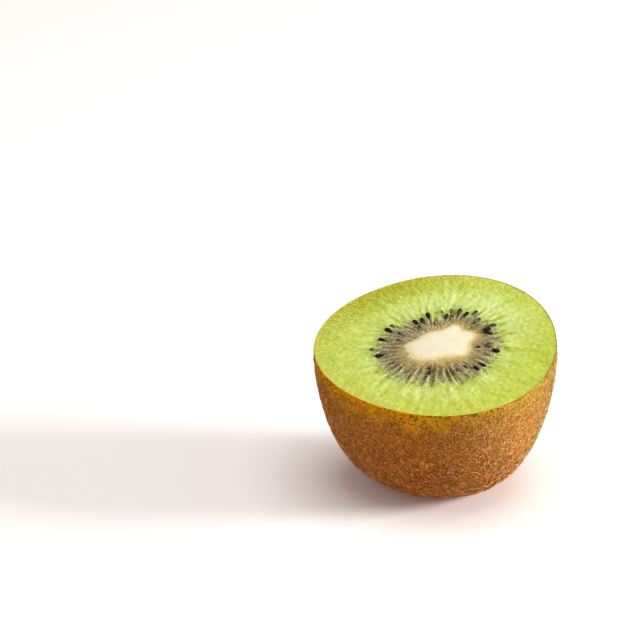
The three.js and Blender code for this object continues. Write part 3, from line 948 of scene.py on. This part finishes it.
def make_peel():
    """The skin as a thin closed shell: the scar, the outside up to the rim, with slow dimples and fine
    grains, the cut edge, whose lip is ragged and most so at the back, and the inside back down, a peel's
    thickness further in."""
    angle = AROUND
    under_radius, under_height = scar_profile()
    under = stack_at(angle, under_radius[:, None], under_height[:, None])
    ring_waves = ripples(under, 1.1, 23) * bell(under_radius, 4.6, 1.6)[:, None]
    under[..., 2] = np.maximum(under[..., 2] + 0.1 * ring_waves, 0.02)

    share = np.linspace(0.03, 1, SKIN_RINGS)[:, None]
    radius, height = skin_place(angle, share)
    steady = smooth_step(0.0, 0.2, share) * (1 - smooth_step(0.97, 1.0, share))
    smooth = stack_at(angle, radius, height)
    swell = (0.03 * ripples(smooth, 14, 21) + 0.02 * ripples(smooth, 1.1, 22)) * steady
    outside = stack_at(angle, radius + swell, np.maximum(height, 0.04))

    rim = rim_radius(angle)
    lip = stack_at(angle, rim - PEEL * np.array([[0.25], [0.7], [1.0]]), 0.0)
    lip[..., 2] = cut_at(lip[..., 0], lip[..., 1]) + np.array([[0.06], [0.05], [-0.08]])
    ragged = np.maximum(ripples(lip, 0.9, 25), 0) ** 2
    lip[..., 2] += 0.14 * ragged * (0.25 + sector(angle, 140, 45)) * np.array([[1.0], [1.0], [0.0]])
    inner_share = np.linspace(0.985, 0.2, 9)[:, None]
    inner_radius, inner_height = skin_place(angle, inner_share)
    inside = stack_at(angle, inner_radius - PEEL, np.maximum(inner_height, 1.4))
    points = np.concatenate([under, outside, lip, inside])

    cut, scar = (np.zeros(points.shape[:2]) for _ in range(2))
    depth = cut_at(points[..., 0], points[..., 1]) - points[..., 2]
    # How deep below the cut, made ragged, for the golden band: painted glow of light through the thin
    # flesh at the cut.
    painted_glow_depth = depth * (1 + 0.15 * sector(angle, 215, 30)) + 1.3 * ripples(points, 6, 24)
    band = 1 - smooth_step(0.6, 6.4, painted_glow_depth)
    brink = 1 - smooth_step(0.1, 0.9, depth)
    cut[len(under) + len(outside) + 1 :] = 1
    scar[: len(under)] = (1 - smooth_step(4.8, 6.6, under_radius))[:, None]
    # How much painted light each point of the skin gets, by its side.
    painted_lit = painted_lit_side(angle) * np.ones((len(points), 1))
    solid, faces = closed_stack(points)
    values = with_ends({"band": band, "brink": brink, "cut": cut, "scar": scar, "painted_lit": painted_lit})
    return new_piece("peel", solid, faces, PEEL_SKIN, "flesh", values)


# ---- hairs
NEAR = 1e-3  # a step along the skin that is small enough to give its slope


def skin_frame(angle, share):
    """Points of the skin with their outward normals and the directions up the side and round it."""
    here = stack_at(angle, *skin_place(angle, share))
    up = stack_at(angle, *skin_place(angle, share + NEAR)) - here
    around = stack_at(angle + NEAR, *skin_place(angle + NEAR, share)) - here
    up /= np.linalg.norm(up, axis=-1, keepdims=True)
    normal = np.cross(around, up)
    normal /= np.linalg.norm(normal, axis=-1, keepdims=True)
    return here, normal, up, np.cross(up, normal)


def scatter(seed, thin):
    """Seeded places on the skin for one kind of hair, out of eight times as many draws. They are spread
    evenly by area, but stand thin in the golden band below the rim, and not at all at the flat spot."""
    draw = np.random.default_rng(seed)
    tries = 8 * HAIRS_EACH
    angle, share = draw.uniform(0, TURN, tries), draw.uniform(0.0, 1.0, tries)
    radius, height = skin_place(angle, share)
    radius_next, height_next = skin_place(angle, share + NEAR)
    area = radius * np.hypot(radius_next - radius, height_next - height)
    depth = rim_height(angle) - height
    thick = (thin + (1 - thin) * smooth_step(0.8, 4.5, depth)) * (depth > 0.5)
    chance = area / area.max() * thick * smooth_step(0.02, 0.12, height)
    kept = np.flatnonzero(draw.uniform(0, 1, tries) < chance)[:HAIRS_EACH]
    return angle[kept], share[kept], draw


def strands(name, base, frame_axes, length, curl, lift, width, tone, material):
    """Tapered three-sided hairs, each an arc in the plane of the skin: at the share s of its length it
    has turned by curl * s, and stands lift * s * (1 - 0.55 s) of its length above the skin. Three
    rings of three points and one point at the tip."""
    normal, ahead, aside = (axis[:, None] for axis in frame_axes)
    s = np.array([0.0, 0.4, 0.75, 1.0])[None, :, None]
    size, curl, lift = length[:, None, None], curl[:, None, None], lift[:, None, None]
    turn = curl * s
    run = size / curl
    line = base[:, None] + run * (np.sin(turn) * ahead + (1 - np.cos(turn)) * aside)
    line = line + size * lift * s * (1 - 0.55 * s) * normal
    low, high = np.array([0.1, 0.1, 0.1, 0.06]), cut_at(line[..., 0], line[..., 1]) - 0.12
    line[..., 2] = np.clip(line[..., 2], low, high)

    side = np.cos(turn) * aside - np.sin(turn) * ahead
    thick = width[:, None, None] * np.array([1.0, 0.9, 0.55])[None, :, None]
    corners = [(math.cos(k * TURN / 3), math.sin(k * TURN / 3)) for k in range(3)]
    rings = [line[:, :3] + thick * (c * side[:, :3] + d * normal) for c, d in corners]
    points = np.concatenate([np.stack(rings, 2).reshape(len(base), 9, 3), line[:, 3:]], 1)
    pairs = [(r * 3 + k, r * 3 + (k + 1) % 3) for r in range(2) for k in range(3)]
    quads = np.array([(a, b, b + 3, a + 3) for a, b in pairs])
    ends = np.array([[6, 7, 9], [7, 8, 9], [8, 6, 9], [2, 1, 0]])
    start = (np.arange(len(base)) * 10)[:, None, None]
    faces = [(start + quads).reshape(-1, 4), (start + ends).reshape(-1, 3)]
    along = np.append(np.repeat(s[0, :3, 0], 3), 1.0)
    # How much painted light each hair gets, by the side it grows on.
    painted_lit = painted_lit_side(np.arctan2(base[:, 1], base[:, 0]))
    values = {"along": along, "tone": tone[:, None], "painted_lit": painted_lit[:, None]}
    values = {key: np.broadcast_to(numbers, (len(base), 10)) for key, numbers in values.items()}
    return new_piece(name, points, faces, material, values=values)


def grow(name, material, seed, thin, length, width, lift):
    """Hairs of one kind: they leave the skin in wandering directions, mostly downwards, and curl. They
    are longer and thicker low down, and a little darker there as painted shade. They are less alike there,
    and on the +X side, where the wider spread is painted light and shade among hairs lit by the key lamp."""
    angle, share, draw = scatter(seed, thin)
    base, normal, up, around = skin_frame(angle, share)
    comb = 0.9 * ripples(base, 9, seed + 1) + draw.normal(0, 1.5, len(base)) - math.pi / 2
    ahead = np.cos(comb)[:, None] * around + np.sin(comb)[:, None] * up
    aside = np.cross(normal, ahead)
    curl = draw.normal(0, 1.3, len(base))
    curl = np.where(np.abs(curl) < 0.05, 0.05, curl)
    low_down = 1 - smooth_step(2, 22, base[:, 2])
    lengths = draw.uniform(*length, len(base)) * (1 + 0.5 * low_down)
    lifts = draw.uniform(*lift, len(base))
    widths = draw.uniform(*width, len(base)) * (1 + 0.4 * low_down)
    # A wider spread of tones on the +X side is painted light and shade among hairs lit by the key lamp;
    # darker low down is painted shade.
    unlike = 0.7 + 0.5 * low_down + 0.8 * np.minimum(painted_lit_side(angle), 1)
    tone = 0.5 + draw.uniform(-0.5, 0.5, len(base)) * unlike - 0.08 * low_down
    axes = (normal, ahead, aside)
    return strands(name, base - 0.03 * normal, axes, lengths, curl, lifts, widths, tone, material)


# ---- the scene
def make_floor():
    """A broad pale sheet, 6 m across, that the part stands on."""
    mesh = bpy.data.meshes.new("floor")
    corners = [(x * 3, y * 3, 0) for x, y in ((-1, -1), (1, -1), (1, 1), (-1, 1))]
    mesh.from_pydata(corners, [], [(0, 1, 2, 3)])
    warm = {"Base_Color": (0.96, 0.92, 0.9, 1), "Emission_Color": (1, 0.68, 0.56, 1)}
    material, _, _ = new_material("white sheet", Roughness=0.9, Emission_Strength=0.09, **warm)
    mesh.materials.append(material)
    floor = put("floor", mesh)


def make_lamp(name, at, size, watts):
    """A round soft lamp at a place in metres, facing the part."""
    lamp = bpy.data.lights.new(name, "AREA")
    lamp.shape, lamp.size, lamp.energy = "DISK", size, watts
    thing = put(name, lamp)
    thing.location = at
    thing.rotation_euler = (Vector((0, 0, 0.015)) - Vector(at)).to_track_quat("-Z", "Y").to_euler()


def make_light():
    """A low soft key from the right, a broad soft lamp overhead, and a white room."""
    make_lamp("key", (0.85, -0.02, 0.24), 0.3, 12.0)
    make_lamp("overhead", (0.1, 0.05, 1.0), 1.0, 6.0)
    world = bpy.data.worlds.new("room")
    world.use_nodes = True
    Tree(world.node_tree).wire(world.node_tree.nodes["Background"], Color=(1, 1, 1, 1), Strength=0.35)
    bpy.context.scene.world = world
    bpy.context.scene.view_settings.view_transform = "Standard"


# The camera, mm: it stands 700 from the part and looks along +Y and down, with the part's foot right of
# and below the middle of the picture.
CAMERA_DISTANCE = 700.0
CAMERA_DOWN = math.radians(22.0)
PART_RIGHT, PART_BELOW = 24.97, 33.91
PIXELS_PER_MM, PICTURE_PIXELS = 4.67, 640
SENSOR = 36.0


def make_camera():
    """The camera, whose lens gives a millimetre at the part's distance its size in the picture."""
    up = np.array([0, math.sin(CAMERA_DOWN), math.cos(CAMERA_DOWN)])
    ahead = np.array([0, math.cos(CAMERA_DOWN), -math.sin(CAMERA_DOWN)])
    foot = AXIS - [0, 0, REST_DEPTH]
    place = foot + [-PART_RIGHT, 0, 0] + PART_BELOW * up - CAMERA_DISTANCE * ahead
    camera = bpy.data.cameras.new("camera")
    camera.sensor_width = SENSOR
    camera.lens = SENSOR * PIXELS_PER_MM * CAMERA_DISTANCE / PICTURE_PIXELS
    camera.clip_start, camera.clip_end = 0.05, 20
    thing = put("camera", camera)
    thing.location = place * MM
    thing.rotation_euler = (math.pi / 2 - CAMERA_DOWN, 0, 0)
    bpy.context.scene.camera = thing


make_camera()
make_floor()
make_light()
make_cut_flesh()
make_pith()
make_seeds()
make_peel()
for kind, (root, tip, shine, *growth) in HAIRS.items():
    grow("hairs_" + kind, make_hair("hair " + kind, root, tip, shine), *growth)
